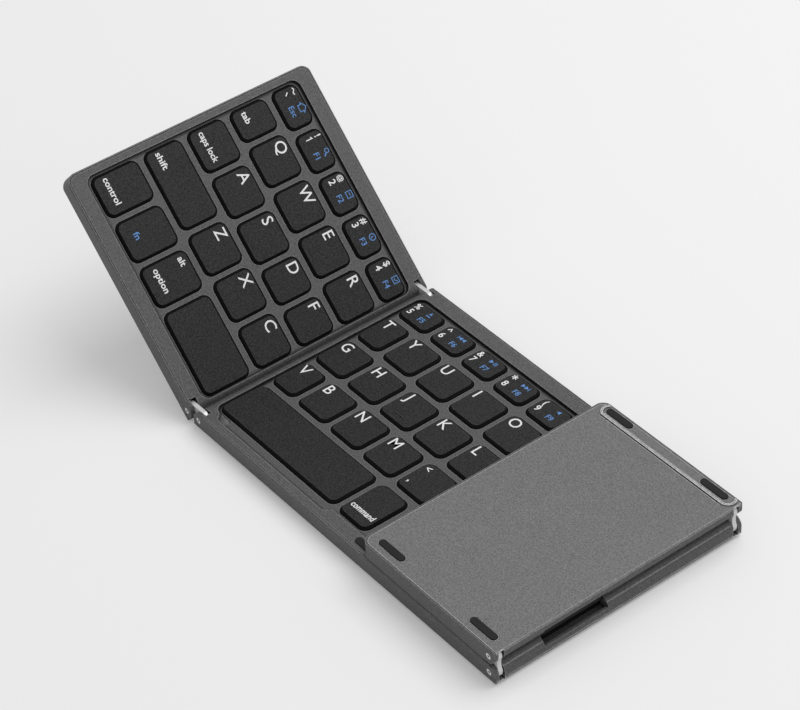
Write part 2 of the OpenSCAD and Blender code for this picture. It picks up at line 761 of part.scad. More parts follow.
module left_housing() {
    color(shell_grey) left_place() housing(-left_len, 0, left_fold, -1, left_cavity);
}

module left_key_frame() {
    color(shell_grey) left_place() key_frame(-left_len, 0, left_fold, -1, left_keys)
        key_field(left_key_x + rib_x / 2 - field_end_margin,
            -left_fold_key_in - rib_x / 2 + field_fold_margin);
}

module left_bottom_cover() {
    color(cover_grey) left_place() bottom_cover(-left_len, 0, left_fold, -1);
}

module left_circuit_board() {
    color("darkgreen") left_place() board(left_cavity[0] + part_gap, left_cavity[1] - part_gap);
}

module left_dome_sheet() {
    color("gainsboro") left_place() dome_sheet(left_cavity[0] + part_gap, left_cavity[1] - part_gap, left_keys);
}

module left_feet() {
    color([0.1, 0.1, 0.1]) left_place() feet(-left_len, 0, left_fold);
}

module left_cover_screws() {
    color("silver") left_place() cover_screws(-left_len, 0, left_fold);
}

module left_hinge_pins() {
    color("silver") left_place() hinge_pins(-left_len, 0, left_fold);
}

// ---- touchpad leaf, turned over onto the middle leaf with its links upright ----

module right_place() {
    translate([mid_pin_x, 0, pin_z + pin_gap]) rotate([0, 180, 0])
        translate([-pin_in, 0, -pin_z]) children();
}

right_fold = [true, false];
right_cavity = [pin_in + guard_up + guard_t, right_len - end_wall];
pad_x0 = (right_len - pad_len) / 2 + pad_shift;
click_y0 = -cavity_y + click_in;
pad_y0 = click_y0 + click_depth + rib_y;
click_w = (pad_len - rib_y) / 2;
pad_z = leaf_t - pad_t - pad_low;
function click_key(i) = [0, i, pad_x0 + i * (click_w + rib_y), pad_x0 + click_w + i * (click_w + rib_y),
    click_y0, click_y0 + click_depth];

module pad_outline(shrink) {
    rounded(pad_x0 + shrink, pad_x0 + pad_len - shrink, pad_y0 + shrink, pad_y0 + pad_depth - shrink,
        pad_r - shrink);
}

module right_housing() {
    color(shell_grey) right_place() housing(0, right_len, right_fold, 0, right_cavity);
}

module touchpad_frame() {
    color(shell_grey) right_place() difference() {
        key_frame(0, right_len, right_fold, 0, [click_key(0), click_key(1)])
            translate([pad_x0, pad_y0]) square(eps);
        translate([0, 0, pad_z]) linear_extrude(pad_t + over) pad_outline(0);
        translate([0, 0, frame_z - over]) linear_extrude(frame_t + 2 * over) pad_outline(pad_ledge);
    }
}

module touchpad() {
    color([0.2, 0.2, 0.21]) right_place() translate([0, 0, pad_z])
        linear_extrude(pad_t) pad_outline(seam);
}

module click_button(i) {
    color(cap_black) right_place() cap(click_key(i), button_bevel, button_bevel);
}

module click_button_left() {
    click_button(0);
}

module click_button_right() {
    click_button(1);
}

module right_bottom_cover() {
    color(cover_grey) right_place() bottom_cover(0, right_len, right_fold, 0);
}

module main_board() {
    y0 = -cavity_y + part_gap;
    y1 = y0 + main_board_depth;
    x0 = right_cavity[0] + part_gap;
    x1 = right_cavity[1] - part_gap;
    switch_top = cap_base_z + cap_h - cap_top - click_travel - dome_gap;
    color("darkgreen") right_place() {
        translate([x0, y0, cover_t]) cube([x1 - x0, y1 - y0, board_t]);
        for (i = [0, 1]) translate([(click_key(i)[2] + click_key(i)[3]) / 2, (click_y0 * 2 + click_depth) / 2,
            sheet_z - eps]) cylinder(r = switch_r, h = switch_top - sheet_z + eps);
        for (c = [[(3 * x0 + x1) / 4, chip_size], [(x0 + 3 * x1) / 4, charger_size]])
            translate([c[0] - c[1][0] / 2, y1 - c[1][1] - board_t, sheet_z - eps]) cube(c[1] + [0, 0, eps]);
    }
}

module battery() {
    x0 = (right_len - cell_len) / 2;
    y0 = -cavity_y + main_board_depth + 2 * part_gap;
    color("lightsteelblue") right_place() translate([0, y0 + cell_depth, cover_t]) rotate([90, 0, 0])
        linear_extrude(cell_depth) rounded(x0, x0 + cell_len, 0, cell_t, cell_r);
}

module right_feet() {
    color([0.1, 0.1, 0.1]) right_place() feet(0, right_len, right_fold);
}

module right_cover_screws() {
    color("silver") right_place() cover_screws(0, right_len, right_fold);
}

module right_hinge_pins() {
    color("silver") right_place() hinge_pins(0, right_len, right_fold);
}

// ---- links: drawn level, from the middle leaf's pin axis outward along +X ----

module link_profile() {
    difference() {
        union() {
            circle(link_r);
            translate([pin_gap, 0]) circle(link_r);
            translate([0, -link_r]) square([pin_gap, 2 * link_r]);
        }
        translate([pin_gap / 2, -link_waist - waist_r]) circle(waist_r);
        for (x = [0, pin_gap]) translate([x, 0]) circle(pin_r + pin_play);
    }
}

module links() {
    for (side = [-1, 1]) along_y(side * link_y - link_t / 2, side * link_y + link_t / 2) link_profile();
}

module guard_plate() {
    along_y(-guard_fwd - guard_len / 2, -guard_fwd + guard_len / 2)
        rounded(guard_from, pin_gap - guard_from, guard_up, guard_up + guard_t, guard_t / 2 - eps);
}

module left_link_place() {
    translate([-mid_pin_x, 0, pin_z]) mirror([1, 0, 0]) children();
}

module right_link_place() {
    translate([mid_pin_x, 0, pin_z]) rotate([0, -90, 0]) children();
}

module left_links() {
    color("gainsboro") left_link_place() links();
}

module right_links() {
    color("gainsboro") right_link_place() links();
}

module cable_guard() {
    color([0.1, 0.1, 0.1]) right_link_place() guard_plate();
}

// ---- keys of the left leaf ----

module left_caps(row, first, last) {
    left_place() caps(left_keys, row, first, last);
}

module grave_key() {
    left_caps(1, 0, 0);
}

module left_number_keys() {
    left_caps(1, 1, 4);
}

module tab_key() {
    left_caps(2, 0, 0);
}

module left_upper_letter_keys() {
    left_caps(2, 1, 4);
}

module caps_key() {
    left_caps(3, 0, 0);
}

module left_home_letter_keys() {
    left_caps(3, 1, 2);
}

module left_home_edge_keys() {
    left_caps(3, 3, 4);
}

module left_shift_key() {
    left_caps(4, 0, 0);
}

module left_lower_letter_keys() {
    left_caps(4, 1, 3);
}

module left_modifier_keys() {
    left_caps(5, 0, 2);
}

module left_space_key() {
    left_caps(5, 3, 3);
}

// ---- keys of the middle leaf ----

module mid_number_keys() {
    caps(mid_keys, 1, 0, 7);
}

module backspace_key() {
    caps(mid_keys, 1, 8, 8);
}

module t_key() {
    caps(mid_keys, 2, 0, 0);
}

module mid_upper_letter_keys() {
    caps(mid_keys, 2, 1, 7);
}

module backslash_key() {
    caps(mid_keys, 2, 8, 8);
}

module mid_home_letter_keys() {
    caps(mid_keys, 3, 0, 6);
    color(cap_black) homing_bar([for (k = mid_keys) if (k[0] == 3 && k[1] == 2) k][0]);
}

module enter_key() {
    caps(mid_keys, 3, 7, 7);
}

module v_key() {
    caps(mid_keys, 4, 0, 0);
}

module mid_lower_letter_keys() {
    caps(mid_keys, 4, 1, 6);
}

module up_and_shift_keys() {
    caps(mid_keys, 4, 7, 8);
}

module space_key() {
    caps(mid_keys, 5, 0, 0);
}

module mid_modifier_keys() {
    caps(mid_keys, 5, 1, 2);
}

module arrow_keys() {
    caps(mid_keys, 5, 3, 5);
}

mid_housing();
mid_key_frame();
mid_bottom_cover();
mid_circuit_board();
mid_dome_sheet();
mid_feet();
mid_cover_screws();
mid_hinge_pins();
closing_bumper();
charging_socket();
indicator_lenses();
left_housing();
left_key_frame();
left_bottom_cover();
left_circuit_board();
left_dome_sheet();
left_feet();
left_cover_screws();
left_hinge_pins();
right_housing();
touchpad_frame();
right_bottom_cover();
main_board();
battery();
right_feet();
right_cover_screws();
right_hinge_pins();
touchpad();
click_button_left();
click_button_right();
left_links();
right_links();
cable_guard();
grave_key();
left_number_keys();
tab_key();
left_upper_letter_keys();
caps_key();
left_home_letter_keys();
left_home_edge_keys();
left_shift_key();
left_lower_letter_keys();
left_modifier_keys();
left_space_key();
mid_number_keys();
backspace_key();
t_key();
mid_upper_letter_keys();
backslash_key();
mid_home_letter_keys();
enter_key();
v_key();
mid_lower_letter_keys();
up_and_shift_keys();
space_key();
mid_modifier_keys();
arrow_keys();
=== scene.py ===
"""Looks of the tri-fold keyboard: finishes for every CAD node, and the printed legends of the keys."""

import json
import math

import bpy
import numpy as np
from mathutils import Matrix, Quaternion, Vector


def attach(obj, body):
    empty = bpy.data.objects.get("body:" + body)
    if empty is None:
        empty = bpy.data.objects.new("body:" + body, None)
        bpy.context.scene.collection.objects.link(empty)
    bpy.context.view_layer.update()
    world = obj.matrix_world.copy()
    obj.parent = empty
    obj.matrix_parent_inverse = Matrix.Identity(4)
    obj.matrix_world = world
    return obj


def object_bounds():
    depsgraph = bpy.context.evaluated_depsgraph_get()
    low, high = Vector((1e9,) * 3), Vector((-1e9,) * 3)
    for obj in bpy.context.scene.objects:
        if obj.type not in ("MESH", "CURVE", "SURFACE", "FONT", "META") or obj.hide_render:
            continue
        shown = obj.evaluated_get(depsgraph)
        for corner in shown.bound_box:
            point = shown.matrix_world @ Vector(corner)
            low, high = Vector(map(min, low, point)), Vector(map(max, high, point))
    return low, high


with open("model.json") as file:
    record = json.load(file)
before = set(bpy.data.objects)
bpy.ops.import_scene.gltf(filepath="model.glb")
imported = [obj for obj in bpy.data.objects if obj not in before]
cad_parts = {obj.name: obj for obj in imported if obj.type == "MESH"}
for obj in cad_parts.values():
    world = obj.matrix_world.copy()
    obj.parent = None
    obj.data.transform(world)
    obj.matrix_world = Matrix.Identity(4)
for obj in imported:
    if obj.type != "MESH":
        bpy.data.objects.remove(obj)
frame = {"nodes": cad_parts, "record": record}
cad_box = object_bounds()

MM = 0.001

# Leaves, in mm: thickness, how far a pin lies in from its leaf's end and up from the underside, the gap
# between the two pins of a fold, the middle leaf's half length, and the left leaf's length and raise
LEAF_T = 6.0
PIN_IN = 2.95
PIN_Z = LEAF_T / 2
PIN_GAP = 6.5
MID_END = 76.35
LEFT_LEN = 87.5
LEFT_RAISE = math.radians(44.5)

# Key fields, in mm: how far the caps' tops lie below the leaf's, the rib between two keys, and the rails at
# a field's ends
CAP_DROP = 0.05
CAP_TOP = LEAF_T - CAP_DROP
RIB = 1.6
LEFT_OUTER_RAIL = 3.2
LEFT_FOLD_RAIL = 2.5
MID_RAIL = 3.65

# Camera: its place in metres, the bearing and dip of its view line and its roll about that line in degrees
CAMERA_AT = (0.5329, -0.4005, 0.6052)
CAMERA_BEARING = 144.46
CAMERA_DIP = 39.75
CAMERA_ROLL = -3.89
CAMERA_LENS = 129.4
CAMERA_SENSOR = 36
CAMERA_NEAR = 0.05

# Studio: a pale floor at the object's lowest point, an even surround, and one large soft box behind it
FLOOR_Z = cad_box[0][2]
FLOOR_HALF = 6.0
FLOOR_TONE = (0.82, 0.82, 0.82, 1)
FLOOR_ROUGH = 0.9
FLOOR_SPEC = 0.1
FLOOR_GLOW = 0.21
SURROUND_STRENGTH = 0.45
SOFT_BOX_AT = (0.07, 0.6, 1.2)
SOFT_BOX_AIM = (0, 0, 0.01)
SOFT_BOX_SIZE = 1.1
SOFT_BOX_WATTS = 8.3
WHITE = (1, 1, 1, 1)

# Finishes: albedo of each moulding and of each print, before its grain
SHELL = (0.110, 0.110, 0.112)
COVER = (0.195, 0.195, 0.197)
CAP = (0.027, 0.027, 0.028)
PRINT_WHITE = (1.0, 1.0, 1.0)
PRINT_BLUE = (0.15, 0.32, 0.68)

# Directions that the tops of the keys face, which turn the painted shade on the caps' sides: on the level
# leaves and on the raised left leaf
LEVEL_UP = (0, 0, 1)
LEFT_UP = (math.sin(LEFT_RAISE), 0, math.cos(LEFT_RAISE))

# Where each cover's flat underside lies, from which the painted ridge light measures heights: the way it
# faces, and its distance from the origin that way, in mm
MID_UNDERSIDE = ((0, 0, -1), 0.0)
RIGHT_UNDERSIDE = ((0, 0, 1), PIN_Z + PIN_GAP + PIN_Z)
LEFT_UNDERSIDE = ((-LEFT_UP[0], 0, -LEFT_UP[2]),
                  PIN_Z + (MID_END - PIN_IN + PIN_GAP) * LEFT_UP[0] - PIN_Z * LEFT_UP[2])


# ---- node trees ----

class Tree:
    """Short hand for building a node tree."""

    def __init__(self, tree):
        self.tree = tree

    def feed(self, socket, value):
        """Links an output to the socket, or sets the socket's own value."""
        if isinstance(value, bpy.types.NodeSocket):
            self.tree.links.new(value, socket)
        else:
            socket.default_value = value

    def add(self, kind, inputs=None, **settings):
        """A node with its settings, whose inputs are fed by name or place."""
        node = self.tree.nodes.new(kind)
        for key, value in settings.items():
            setattr(node, key, value)
        for key, value in (inputs or {}).items():
            self.feed(node.inputs[key], value)
        return node

    def group(self, name, inputs):
        """Outputs of a placed node group."""
        return self.add("ShaderNodeGroup", inputs, node_tree=bpy.data.node_groups[name]).outputs

    def math(self, operation, *values):
        """Result of one sum, difference, product or the like."""
        return self.add("ShaderNodeMath", dict(enumerate(values)), operation=operation).outputs[0]

    def scaled(self, colour, factor):
        """The colour times the factor."""
        return self.add("ShaderNodeVectorMath", {0: colour, "Scale": factor}, operation="SCALE").outputs[0]

    def along(self, vector, way):
        """How far the vector reaches along the way: their dot product."""
        node = self.add("ShaderNodeVectorMath", {0: vector, 1: way}, operation="DOT_PRODUCT")
        return node.outputs["Value"]

    def ramp(self, value, span, low, high):
        """low where the value is below the span, high where it is above, and a straight slope in between."""
        return self.add("ShaderNodeMapRange", {"Value": value, "From Min": span[0], "From Max": span[1],
                                               "To Min": low, "To Max": high}).outputs["Result"]

    def coords(self, kind):
        """The surface's own coordinates of that kind."""
        return self.add("ShaderNodeTexCoord").outputs[kind]


# ---- camera, light and floor ----

def aim_camera():
    """Places the camera and turns it along its view line, by bearing, dip and roll."""
    data = bpy.data.cameras.new("studio_camera")
    data.lens = CAMERA_LENS
    data.sensor_width = CAMERA_SENSOR
    data.clip_start = CAMERA_NEAR
    camera = bpy.data.objects.new("studio_camera", data)
    bearing, dip, roll = (math.radians(angle) for angle in (CAMERA_BEARING, CAMERA_DIP, CAMERA_ROLL))
    look = Vector((math.cos(bearing) * math.cos(dip), math.sin(bearing) * math.cos(dip), -math.sin(dip)))
    camera.rotation_mode = "QUATERNION"
    camera.rotation_quaternion = look.to_track_quat("-Z", "Y") @ Quaternion((0, 0, 1), roll)
    camera.location = CAMERA_AT
    bpy.context.scene.collection.objects.link(camera)
    bpy.context.scene.camera = camera


def build_lights():
    """An even pale surround, and one square soft box that faces the object."""
    scene = bpy.context.scene
    scene.view_settings.view_transform = "Standard"
    scene.world = bpy.data.worlds.new("studio")
    scene.world.use_nodes = True
    surround = scene.world.node_tree.nodes["Background"]
    surround.inputs["Color"].default_value = WHITE
    surround.inputs["Strength"].default_value = SURROUND_STRENGTH
    data = bpy.data.lights.new("key_box", "AREA")
    data.size = SOFT_BOX_SIZE
    data.energy = SOFT_BOX_WATTS
    light = bpy.data.objects.new("key_box", data)
    light.location = SOFT_BOX_AT
    aim = Vector(SOFT_BOX_AIM) - Vector(SOFT_BOX_AT)
    light.rotation_euler = aim.to_track_quat("-Z", "Y").to_euler()
    scene.collection.objects.link(light)


def build_floor():
    """One square of pale floor. It glows a little, but only as the camera sees it, so it lights nothing."""
    mesh = bpy.data.meshes.new("floor")
    s = FLOOR_HALF
    corners = [(-s, -s, FLOOR_Z), (s, -s, FLOOR_Z), (s, s, FLOOR_Z), (-s, s, FLOOR_Z)]
    mesh.from_pydata(corners, [], [(0, 1, 2, 3)])
    floor = bpy.data.objects.new("floor", mesh)
    bpy.context.scene.collection.objects.link(floor)
    mat = bpy.data.materials.new("pale_floor")
    mat.use_nodes = True
    t = Tree(mat.node_tree)
    shader = mat.node_tree.nodes["Principled BSDF"]
    shader.inputs["Base Color"].default_value = FLOOR_TONE
    shader.inputs["Roughness"].default_value = FLOOR_ROUGH
    shader.inputs["Specular IOR Level"].default_value = FLOOR_SPEC
    shader.inputs["Emission Color"].default_value = WHITE
    seen = t.add("ShaderNodeLightPath").outputs["Is Camera Ray"]
    t.feed(shader.inputs["Emission Strength"], t.math("MULTIPLY", seen, FLOOR_GLOW))
    mesh.materials.append(mat)


# ---- shader groups shared by several finishes ----

# Grain: detail of the fine noise, scale and detail of the wide one, and the slope and start of the roughness
FINE_NOISE = {"Detail": 1.5, "Roughness": 0.6}
WIDE_NOISE = {"Scale": 45.0, "Detail": 2.0}
ROUGH_SLOPE, ROUGH_START = 0.12, 0.4

# Painted edge highlights and crease shade: samples of what lies close by, and the least that a shaded crease
# keeps of its colour
PAINTED_LIGHT_SAMPLES = 6
CREASE_LEAST = 0.05

# Painted side shade: how far a face looks up where its side starts and where its top does, and the roughness
# of a side
SIDE_TURN = (0.78, 0.97)
SIDE_ROUGH = 0.95

# Painted ridge light: the heights between which the painted shade at its foot sets in and the painted
# highlight on its crest does, in metres
RIDGE_FOOT = (0.01 * MM, 0.04 * MM)
RIDGE_CREST = (0.14 * MM, 0.24 * MM)

# Sockets that every group has, and the kinds of the others
COLOUR_IN = ("Color", "NodeSocketColor", (0.1, 0.1, 0.1, 1))
COLOUR_OUT = ("Color", "NodeSocketColor")
NUMBER = "NodeSocketFloat"
VECTOR = "NodeSocketVector"


def new_group(name, inputs, outputs):
    """A node group with its sockets: each input is (name, kind, default), and each output (name, kind)."""
    group = bpy.data.node_groups.new(name, "ShaderNodeTree")
    for label, kind, default in inputs:
        socket = group.interface.new_socket(label, in_out="INPUT", socket_type=kind)
        socket.default_value = default
    for label, kind in outputs:
        group.interface.new_socket(label, in_out="OUTPUT", socket_type=kind)
    t = Tree(group)
    return t, t.add("NodeGroupInput").outputs, t.add("NodeGroupOutput").inputs


def build_grain_group():
    """Moulded grain: fine and wide noise in object space, as a colour, a height and a roughness.

    The colour is Color times 1 plus fine noise by Contrast and wide noise by Cloudiness, both about zero.
    Grain Size is in mm.
    """
    t, given, out = new_group(
        "moulded_grain",
        [COLOUR_IN, ("Grain Size", NUMBER, 0.25), ("Contrast", NUMBER, 0.15), ("Cloudiness", NUMBER, 0.05)],
        [COLOUR_OUT, ("Height", NUMBER), ("Roughness", NUMBER)])
    coords = t.coords("Object")
    scale = t.math("DIVIDE", 1 / MM, given["Grain Size"])
    fine = t.add("ShaderNodeTexNoise", {"Vector": coords, "Scale": scale, **FINE_NOISE}).outputs["Fac"]
    wide = t.add("ShaderNodeTexNoise", {"Vector": coords, **WIDE_NOISE}).outputs["Fac"]
    fine_part = t.math("MULTIPLY", t.math("SUBTRACT", fine, 0.5), given["Contrast"])
    wide_part = t.math("MULTIPLY", t.math("SUBTRACT", wide, 0.5), given["Cloudiness"])
    gain = t.math("ADD", t.math("ADD", fine_part, wide_part), 1.0)
    t.feed(out["Color"], t.scaled(given["Color"], gain))
    t.feed(out["Height"], fine)
    t.feed(out["Roughness"], t.math("MULTIPLY_ADD", wide, ROUGH_SLOPE, ROUGH_START))


def build_painted_light_group(name, own_creases):
    """Painted highlights on edges and painted shade in creases, from how much lies close by inside and
    outside the surface.

    The edge highlights go by the piece itself. The crease shade goes by the piece alone if own_creases is
    set, else by its neighbours too. Sizes are in metres.
    """
    t, given, out = new_group(
        name,
        [COLOUR_IN, ("Edge Size", NUMBER, 0.0006), ("Edge Gain", NUMBER, 1.0),
         ("Crease Size", NUMBER, 0.0006), ("Crease Depth", NUMBER, 0.5)],
        [COLOUR_OUT])
    edge = t.add("ShaderNodeAmbientOcclusion", {"Distance": given["Edge Size"]},
                 inside=True, only_local=True, samples=PAINTED_LIGHT_SAMPLES).outputs["AO"]
    crease = t.add("ShaderNodeAmbientOcclusion", {"Distance": given["Crease Size"]},
                   only_local=own_creases, samples=PAINTED_LIGHT_SAMPLES).outputs["AO"]
    # Painted highlight where edges are near, painted shade where creases are near
    painted_highlight = t.math("MULTIPLY_ADD", t.math("SUBTRACT", 1.0, edge), given["Edge Gain"], 1.0)
    painted_shade = t.math("MULTIPLY", t.math("SUBTRACT", 1.0, crease), given["Crease Depth"])
    gain = t.math("MAXIMUM", t.math("SUBTRACT", painted_highlight, painted_shade), CREASE_LEAST)
    t.feed(out["Color"], t.scaled(given["Color"], gain))


def build_side_shade_group():
    """Painted shade on the sides, which are also duller: whole colour where a face looks along Up, and Side
    of it where it turns away.
    """
    t, given, out = new_group(
        "painted_side_shade",
        [COLOUR_IN, ("Up", VECTOR, LEVEL_UP), ("Side", NUMBER, 0.3), ("Roughness", NUMBER, 0.45)],
        [COLOUR_OUT, ("Roughness", NUMBER)])
    facing = t.along(t.coords("Normal"), given["Up"])
    t.feed(out["Color"], t.scaled(given["Color"], t.ramp(facing, SIDE_TURN, given["Side"], 1.0)))
    t.feed(out["Roughness"], t.ramp(facing, SIDE_TURN, SIDE_ROUGH, given["Roughness"]))


def build_ridge_light_group():
    """Ridges with a painted highlight on the crest and painted shade at the feet: Gain at the crest, Foot on
    the slopes and 1 on the plane.

    A point's height is its distance along Down less Face, the plane's own distance, both in metres.
    """
    t, given, out = new_group(
        "painted_ridge_light",
        [COLOUR_IN, ("Down", VECTOR, (0, 0, -1)), ("Face", NUMBER, 0.0), ("Foot", NUMBER, 0.5),
         ("Gain", NUMBER, 1.6)],
        [COLOUR_OUT])
    proud = t.math("SUBTRACT", t.along(t.coords("Object"), given["Down"]), given["Face"])
    foot = t.ramp(proud, RIDGE_FOOT, 1.0, given["Foot"])
    gain = t.ramp(proud, RIDGE_CREST, foot, given["Gain"])
    t.feed(out["Color"], t.scaled(given["Color"], gain))


# ---- finishes ----

BEVEL_SAMPLES = 4
BUMP_STRENGTH = 0.5

# How much of its colour the side of a cap keeps under the painted shade
CAP_SIDE_SHADE = 0.12


def moulded(name, colour, size, contrast, cloud, bump, edge, spec, rough=None, metallic=0.0,
            painted_light=None, painted_light_by="painted_edge_light_and_shade", side=None, ridge=None, corner=None):
    """Plastic, rubber or metal with a fine grain, softened edges and its own gloss. Sizes are in mm.

    size, contrast and cloud are the grain's, bump is its height, and edge is the radius of softened edges.
    Without rough, the grain gives the gloss. wear is (edge size, edge gain, crease size, crease depth) of the
    painted highlights on edges and painted shade in creases, put in by the group painted_light_by. side is
    (up, how dark the sides are) of the painted shade on the sides. ridge is the underside (way it faces,
    distance) whose ridge gets a painted highlight on its crest and painted shade at its foot. corner is
    (size, depth) of the painted shade in the piece's own inner corners.
    """
    mat = bpy.data.materials.new(name)
    mat.use_nodes = True
    t = Tree(mat.node_tree)
    shader = mat.node_tree.nodes["Principled BSDF"]
    grain = t.group("moulded_grain", {"Color": (*colour, 1), "Grain Size": size, "Contrast": contrast,
                                      "Cloudiness": cloud})
    soft = t.add("ShaderNodeBevel", {"Radius": edge * MM}, samples=BEVEL_SAMPLES).outputs[0]
    bumps = t.add("ShaderNodeBump", {"Strength": BUMP_STRENGTH, "Distance": bump * MM,
                                     "Height": grain["Height"], "Normal": soft}).outputs[0]
    tint, gloss = grain["Color"], grain["Roughness"]
    # Painted light: shade on the sides, a highlight on ridge crests with shade at their feet, highlights on
    # edges with shade in creases, and more shade in the piece's own inner corners
    if side:
        sides = t.group("painted_side_shade", {"Color": tint, "Up": side[0], "Side": side[1], "Roughness": gloss})
        tint, gloss = sides["Color"], sides["Roughness"]
    if ridge:
        tint = t.group("painted_ridge_light", {"Color": tint, "Down": ridge[0], "Face": ridge[1] * MM})["Color"]
    if painted_light:
        tint = t.group(painted_light_by, {"Color": tint, "Edge Size": painted_light[0] * MM, "Edge Gain": painted_light[1],
                                 "Crease Size": painted_light[2] * MM, "Crease Depth": painted_light[3]})["Color"]
    if corner:
        tint = t.group("painted_edge_light_and_own_shade", {"Color": tint, "Edge Gain": 0.0, "Crease Size": corner[0] * MM,
                                       "Crease Depth": corner[1]})["Color"]
    t.feed(shader.inputs["Base Color"], tint)
    t.feed(shader.inputs["Normal"], bumps)
    t.feed(shader.inputs["Roughness"], gloss if rough is None else rough)
    shader.inputs["Specular IOR Level"].default_value = spec
    shader.inputs["Metallic"].default_value = metallic
    return mat


def build_finishes():
    """The finish of each material slot, and of the nodes that have one of their own."""
    # Edges get painted highlights and creases painted shade; the frames get more painted shade in their own
    # inner corners
    shells = dict(size=0.45, contrast=2.0, cloud=0.12, bump=0.08, edge=0.15, spec=0.45,
                  painted_light=(0.35, 2.2, 0.8, 1.5))
    frames = dict(shells, painted_light=(0.4, 2.5, 0.8, 1.5), corner=(1.5, 4.0))
    covers = dict(size=0.45, contrast=1.9, cloud=0.12, bump=0.07, edge=0.12, spec=0.4,
                  painted_light=(0.35, 4.5, 0.7, 1.8))
    caps = dict(size=0.45, contrast=4.0, cloud=0.15, bump=0.12, edge=0.22, spec=0.22,
                painted_light=(0.5, 2.6, 0.8, 0.8))
    return {
        "shell": moulded("shell_grey", SHELL, **shells),
        "key_frame": moulded("frame_grey", SHELL, **frames),
        # Each cover's ridge gets a painted highlight on its crest and painted shade at its foot, measured
        # from its own underside
        "cover": moulded("cover_speckle", COVER, ridge=MID_UNDERSIDE, **covers),
        "cover_left": moulded("cover_speckle_left", COVER, ridge=LEFT_UNDERSIDE, **covers),
        "cover_right": moulded("cover_speckle_right", COVER, ridge=RIGHT_UNDERSIDE, **covers),
        # The caps' sides get painted shade, turned with the leaf that the keys lie on
        "key_cap": moulded("key_black", CAP, side=(LEVEL_UP, CAP_SIDE_SHADE), **caps),
        "key_cap_left": moulded("key_black_left", CAP, side=(LEFT_UP, CAP_SIDE_SHADE), **caps),
        "button_cap": moulded("button_black", CAP, **caps),
        "foot_rubber": moulded("foot_rubber", (0.019, 0.019, 0.019), size=0.4, contrast=0.8, cloud=0.1,
                               bump=0.02, edge=0.2, spec=0.2),
        "screw_steel": moulded("screw_steel", (0.5, 0.5, 0.51), size=0.15, contrast=0.2, cloud=0.05,
                               bump=0.01, edge=0.05, spec=0.5, rough=0.35, metallic=1.0),
        # The pins' dimples get painted shade
        "pin_steel": moulded("pin_steel", (1.0, 1.0, 1.0), size=0.15, contrast=0.1, cloud=0.05,
                             bump=0.01, edge=0.02, spec=0.5, rough=0.4, metallic=0.2,
                             painted_light=(0.3, 0.0, 0.9, 5.0), painted_light_by="painted_edge_light_and_own_shade"),
        "link_metal": moulded("link_bright", (0.86, 0.86, 0.86), size=0.3, contrast=0.3, cloud=0.1,
                              bump=0.01, edge=0.15, spec=0.5, rough=0.38, metallic=0.35),
        # The board and the domes are near-black partly as painted shade, so the inside of the fold notch
        # reads black
        "board": moulded("board_green", (0.006, 0.014, 0.009), size=0.5, contrast=0.3, cloud=0.2,
                         bump=0.01, edge=0.05, spec=0.5, rough=0.35),
        "dome_silicone": moulded("dome_silicone", (0.014, 0.014, 0.014), size=0.4, contrast=0.1, cloud=0.1,
                                 bump=0.01, edge=0.2, spec=0.4, rough=0.5),
        "socket_metal": moulded("socket_metal", (0.62, 0.62, 0.64), size=0.15, contrast=0.15, cloud=0.05,
                                bump=0.01, edge=0.1, spec=0.5, rough=0.3, metallic=1.0),
        "lens": moulded("lens_clear", (0.5, 0.55, 0.58), size=0.5, contrast=0.1, cloud=0.05,
                        bump=0.005, edge=0.1, spec=0.6, rough=0.15),
        "cell_wrap": moulded("cell_wrap", (0.25, 0.3, 0.38), size=0.8, contrast=0.2, cloud=0.15,
                             bump=0.02, edge=0.2, spec=0.5, rough=0.35),
        "pad_plate": moulded("pad_smooth", (0.03, 0.03, 0.032), size=0.3, contrast=0.5, cloud=0.1,
                             bump=0.01, edge=0.15, spec=0.5, rough=0.4),
        "cable_black": moulded("cable_black", (0.03, 0.03, 0.03), size=0.4, contrast=0.5, cloud=0.1,
                               bump=0.02, edge=0.15, spec=0.3, rough=0.6),
    }


# Nodes whose finish isn't their material slot's: the left leaf's caps and each cover get a copy whose painted
# side shade or painted ridge light is set for their own leaf, and the key frames get more painted shade in
# their inner corners
OWN_FINISHES = {
    **dict.fromkeys(("grave_key", "tab_key", "caps_key", "left_number_keys", "left_upper_letter_keys",
                     "left_home_letter_keys", "left_home_edge_keys", "left_shift_key",
                     "left_lower_letter_keys", "left_modifier_keys", "left_space_key"), "key_cap_left"),
    **dict.fromkeys(("click_button_left", "click_button_right"), "button_cap"),
    **dict.fromkeys(("mid_key_frame", "left_key_frame"), "key_frame"),
    "left_bottom_cover": "cover_left",
    "right_bottom_cover": "cover_right",
}


def dress_nodes(finishes):
    """Gives each CAD node the finish of its material slot, or its own."""
    for part in frame["record"]["subparts"]:
        mesh = frame["nodes"][part["node"]].data
        mesh.materials.clear()
        mesh.materials.append(finishes[OWN_FINISHES.get(part["node"], part["material_slot"])])


# ---- key layout, as in the CAD: keys side by side from the left end of each leaf's key field, in mm ----

ROW_BACK = {1: 41.4, 2: 28.6, 3: 11.4, 4: -5.8, 5: -23.0}
ROW_FRONT = {1: 30.6, 2: 13.4, 3: -3.8, 4: -21.0, 5: -41.6}
LETTER_W, NUMBER_W, HOME_EDGE_W, MOD_W, EDGE_W = 17.07, 16.25, 15.2, 16.55, 13.7
MID_MOD_W, SPACE_W, FIRST_NUMBER_W = 15.95, 62.8, 16.7
LEFT_FIELD = LEFT_LEN - LEFT_OUTER_RAIL - LEFT_FOLD_RAIL
MID_FIELD = 2 * (MID_END - MID_RAIL)


